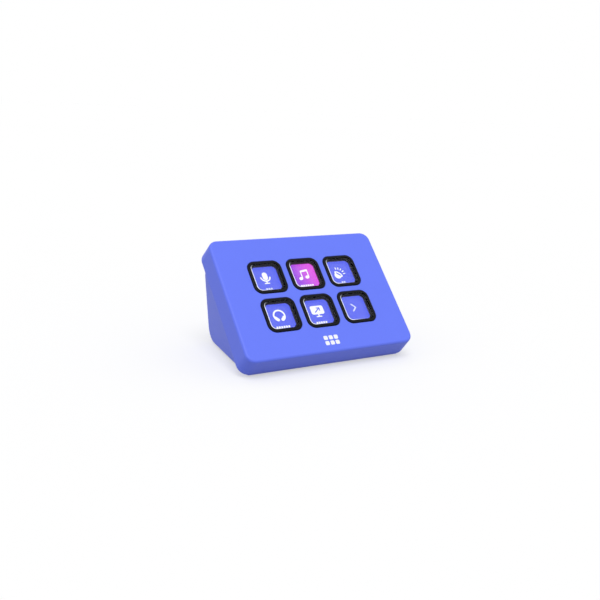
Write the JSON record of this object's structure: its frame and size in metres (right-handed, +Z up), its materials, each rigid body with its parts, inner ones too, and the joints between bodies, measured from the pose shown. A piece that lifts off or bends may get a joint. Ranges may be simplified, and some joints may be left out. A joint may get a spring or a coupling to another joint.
{
  "type": "display keypad",
  "caption": "Desk keypad: square display keys under clear caps in a tilted slab on a drafted wedge stand, with a rubber foot and a USB-C port.",
  "frame": {"origin": "on the desk, under the centre of the outline", "axes": "+X to the right of someone at the keys, -Y towards them, +Z up"},
  "size_m": [0.0838, 0.0569, 0.0499],
  "materials": {
    "housing": "satin blue-violet moulding",
    "key_black": "gloss black",
    "key_clear": "polished clear acrylic",
    "rubber": "fine matt rubber",
    "ballast_steel": "rolled steel",
    "screw_steel": "zinc-black steel",
    "inner_plastic": "black moulding",
    "silicone": "grey silicone",
    "film": "amber film",
    "display_glass": "dark display glass",
    "light_guide": "white light guide",
    "tray_steel": "thin plated steel",
    "board": "green solder mask",
    "socket_metal": "plated steel",
    "black_plastic": "moulded black",
    "capacitor": "ceramic brown",
    "connector_plastic": "ivory moulding"
  },
  "bodies": {
    "base": {"front_shell": "housing", "rear_shell": "housing", "foot_pad": "rubber", "ballast_plate": "ballast_steel", "ballast_screws": "screw_steel", "support_frame": "inner_plastic", "frame_screws": "screw_steel", "case_screws": "screw_steel", "dome_mat": "silicone", "contact_membrane": "film", "display_ribbon": "film", "display_glass": "display_glass", "display_backlight": "light_guide", "display_tray": "tray_steel", "main_board": "board", "board_screws": "screw_steel", "usb_shell": "socket_metal", "usb_tongue": "black_plastic", "controller_chip": "black_plastic", "memory_chip": "black_plastic", "crystal": "socket_metal", "capacitors": "capacitor", "display_connector": "connector_plastic", "key_connector": "connector_plastic"},
    "key_1": {"key_bezel_1": "key_black", "key_lens_1": "key_clear"},
    "key_2": {"key_bezel_2": "key_black", "key_lens_2": "key_clear"},
    "key_3": {"key_bezel_3": "key_black", "key_lens_3": "key_clear"},
    "key_4": {"key_bezel_4": "key_black", "key_lens_4": "key_clear"},
    "key_5": {"key_bezel_5": "key_black", "key_lens_5": "key_clear"},
    "key_6": {"key_bezel_6": "key_black", "key_lens_6": "key_clear"}
  },
  "joints": [
    {"name": "key_1_press", "type": "slide", "parent": "base", "child": "key_1", "axis": [0, 0.6947, -0.7193], "range_m": [0, 0.0009], "stiffness_N_per_m": 320, "springref_m": -0.0008, "deforming": ["dome_mat"]},
    {"name": "key_2_press", "type": "slide", "parent": "base", "child": "key_2", "axis": [0, 0.6947, -0.7193], "range_m": [0, 0.0009], "stiffness_N_per_m": 320, "springref_m": -0.0008, "deforming": ["dome_mat"]},
    {"name": "key_3_press", "type": "slide", "parent": "base", "child": "key_3", "axis": [0, 0.6947, -0.7193], "range_m": [0, 0.0009], "stiffness_N_per_m": 320, "springref_m": -0.0008, "deforming": ["dome_mat"]},
    {"name": "key_4_press", "type": "slide", "parent": "base", "child": "key_4", "axis": [0, 0.6947, -0.7193], "range_m": [0, 0.0009], "stiffness_N_per_m": 320, "springref_m": -0.0008, "deforming": ["dome_mat"]},
    {"name": "key_5_press", "type": "slide", "parent": "base", "child": "key_5", "axis": [0, 0.6947, -0.7193], "range_m": [0, 0.0009], "stiffness_N_per_m": 320, "springref_m": -0.0008, "deforming": ["dome_mat"]},
    {"name": "key_6_press", "type": "slide", "parent": "base", "child": "key_6", "axis": [0, 0.6947, -0.7193], "range_m": [0, 0.0009], "stiffness_N_per_m": 320, "springref_m": -0.0008, "deforming": ["dome_mat"]}
  ]
}
